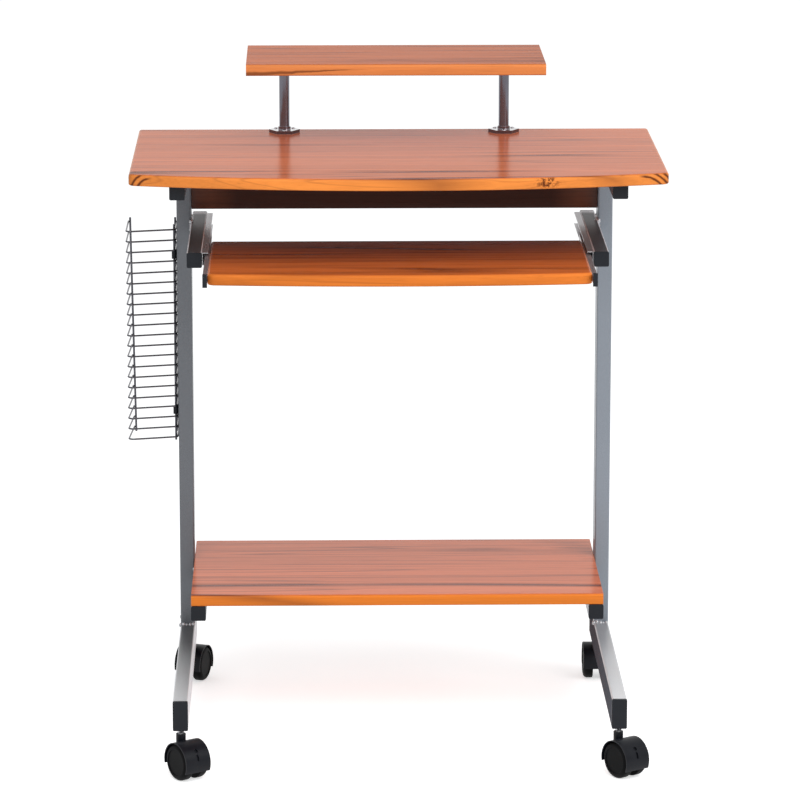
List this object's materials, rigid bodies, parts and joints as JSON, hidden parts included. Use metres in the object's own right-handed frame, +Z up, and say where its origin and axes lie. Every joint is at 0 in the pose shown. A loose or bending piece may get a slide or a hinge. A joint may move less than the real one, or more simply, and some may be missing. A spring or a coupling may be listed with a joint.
{
  "type": "computer desk",
  "caption": "Rolling computer desk with steel side frames, bowed wood top, raised monitor shelf, sliding keyboard tray, bottom shelf and wire disc rack.",
  "frame": {"origin": "on the floor, at the middle of the desk's outline seen from above", "axes": "+X to the right as the user sits, +Y from the user to the back, +Z up"},
  "size_m": [0.7172, 0.5344, 0.904],
  "materials": {
    "wood_boards": "reddish teak-look melamine with fine dark grain across the desk, semi-gloss",
    "silver_paint": "glossy silver-grey powder paint",
    "chrome_posts": "bright chrome plate",
    "rack_wire": "bright plated wire",
    "zinc_slides": "bright zinc-plated strip steel",
    "zinc_fasteners": "bright zinc-plated screws, nuts and pins",
    "black_plastic": "black moulded plastic, satin",
    "caster_plastic": "black moulded nylon, satin"
  },
  "bodies": {
    "frame": {"left_foot": "silver_paint", "left_upright": "silver_paint", "left_desk_arm": "silver_paint", "left_tray_arm": "silver_paint", "left_shelf_arm": "silver_paint", "right_foot": "silver_paint", "right_upright": "silver_paint", "right_desk_arm": "silver_paint", "right_tray_arm": "silver_paint", "right_shelf_arm": "silver_paint", "foot_caps": "black_plastic", "desk_arm_caps": "black_plastic", "tray_arm_caps": "black_plastic", "shelf_arm_caps": "black_plastic", "desktop": "wood_boards", "monitor_shelf": "wood_boards", "bottom_shelf": "wood_boards", "modesty_panel": "wood_boards", "left_post": "chrome_posts", "right_post": "chrome_posts", "left_lower_flange": "chrome_posts", "right_lower_flange": "chrome_posts", "left_upper_flange": "chrome_posts", "right_upper_flange": "chrome_posts", "left_outer_rail": "zinc_slides", "right_outer_rail": "zinc_slides", "rack_wires": "rack_wire", "rack_rods": "rack_wire", "rack_clips": "black_plastic", "rack_clip_screws": "zinc_fasteners", "desktop_screws": "zinc_fasteners", "bottom_shelf_screws": "zinc_fasteners", "panel_bolts": "zinc_fasteners", "flange_screws": "zinc_fasteners", "arm_rail_screws": "zinc_fasteners", "caster_stems": "zinc_fasteners"},
    "tray": {"keyboard_tray": "wood_boards", "left_inner_rail": "zinc_slides", "right_inner_rail": "zinc_slides", "rail_bumpers": "black_plastic", "tray_rail_screws": "zinc_fasteners"},
    "left_cage": {"left_ball_cage": "zinc_slides"},
    "right_cage": {"right_ball_cage": "zinc_slides"},
    "front_left_swivel": {"front_left_hood": "caster_plastic", "front_left_axle": "zinc_fasteners"},
    "front_left_wheel_a": {"front_left_wheel_a": "caster_plastic"},
    "front_left_wheel_b": {"front_left_wheel_b": "caster_plastic"},
    "front_right_swivel": {"front_right_hood": "caster_plastic", "front_right_axle": "zinc_fasteners"},
    "front_right_wheel_a": {"front_right_wheel_a": "caster_plastic"},
    "front_right_wheel_b": {"front_right_wheel_b": "caster_plastic"},
    "rear_left_swivel": {"rear_left_hood": "caster_plastic", "rear_left_axle": "zinc_fasteners"},
    "rear_left_wheel_a": {"rear_left_wheel_a": "caster_plastic"},
    "rear_left_wheel_b": {"rear_left_wheel_b": "caster_plastic"},
    "rear_right_swivel": {"rear_right_hood": "caster_plastic", "rear_right_axle": "zinc_fasteners"},
    "rear_right_wheel_a": {"rear_right_wheel_a": "caster_plastic"},
    "rear_right_wheel_b": {"rear_right_wheel_b": "caster_plastic"}
  },
  "joints": [
    {"name": "tray_slide", "type": "slide", "parent": "frame", "child": "tray", "axis": [0, -1, 0], "range_m": [-0.15, 0.05]},
    {"name": "left_cage_slide", "type": "slide", "parent": "frame", "child": "left_cage", "axis": [0, -1, 0], "range_m": [-0.075, 0.025]},
    {"name": "right_cage_slide", "type": "slide", "parent": "frame", "child": "right_cage", "axis": [0, -1, 0], "range_m": [-0.075, 0.025]},
    {"name": "front_left_swivel", "type": "hinge", "parent": "frame", "child": "front_left_swivel", "pos_m": [-0.2789, -0.22229, 0.05], "axis": [0, 0, 1], "continuous": true},
    {"name": "front_left_roll_a", "type": "hinge", "parent": "front_left_swivel", "child": "front_left_wheel_a", "pos_m": [-0.2703, -0.23458, 0.0245], "axis": [-0.8192, -0.5736, 0], "continuous": true},
    {"name": "front_left_roll_b", "type": "hinge", "parent": "front_left_swivel", "child": "front_left_wheel_b", "pos_m": [-0.2703, -0.23458, 0.0245], "axis": [-0.8192, -0.5736, 0], "continuous": true},
    {"name": "front_right_swivel", "type": "hinge", "parent": "frame", "child": "front_right_swivel", "pos_m": [0.2961, -0.22229, 0.05], "axis": [0, 0, 1], "continuous": true},
    {"name": "front_right_roll_a", "type": "hinge", "parent": "front_right_swivel", "child": "front_right_wheel_a", "pos_m": [0.3047, -0.23458, 0.0245], "axis": [-0.8192, -0.5736, 0], "continuous": true},
    {"name": "front_right_roll_b", "type": "hinge", "parent": "front_right_swivel", "child": "front_right_wheel_b", "pos_m": [0.3047, -0.23458, 0.0245], "axis": [-0.8192, -0.5736, 0], "continuous": true},
    {"name": "rear_left_swivel", "type": "hinge", "parent": "frame", "child": "rear_left_swivel", "pos_m": [-0.2789, 0.22171, 0.05], "axis": [0, 0, 1], "continuous": true},
    {"name": "rear_left_roll_a", "type": "hinge", "parent": "rear_left_swivel", "child": "rear_left_wheel_a", "pos_m": [-0.27377, 0.23581, 0.0245], "axis": [0.9397, -0.342, 0], "continuous": true},
    {"name": "rear_left_roll_b", "type": "hinge", "parent": "rear_left_swivel", "child": "rear_left_wheel_b", "pos_m": [-0.27377, 0.23581, 0.0245], "axis": [0.9397, -0.342, 0], "continuous": true},
    {"name": "rear_right_swivel", "type": "hinge", "parent": "frame", "child": "rear_right_swivel", "pos_m": [0.2961, 0.22171, 0.05], "axis": [0, 0, 1], "continuous": true},
    {"name": "rear_right_roll_a", "type": "hinge", "parent": "rear_right_swivel", "child": "rear_right_wheel_a", "pos_m": [0.2961, 0.23671, 0.0245], "axis": [1, 0, 0], "continuous": true},
    {"name": "rear_right_roll_b", "type": "hinge", "parent": "rear_right_swivel", "child": "rear_right_wheel_b", "pos_m": [0.2961, 0.23671, 0.0245], "axis": [1, 0, 0], "continuous": true}
  ],
  "couplings": [
    {"joint": "left_cage_slide", "follows": "tray_slide", "ratio": 0.5},
    {"joint": "right_cage_slide", "follows": "tray_slide", "ratio": 0.5}
  ]
}
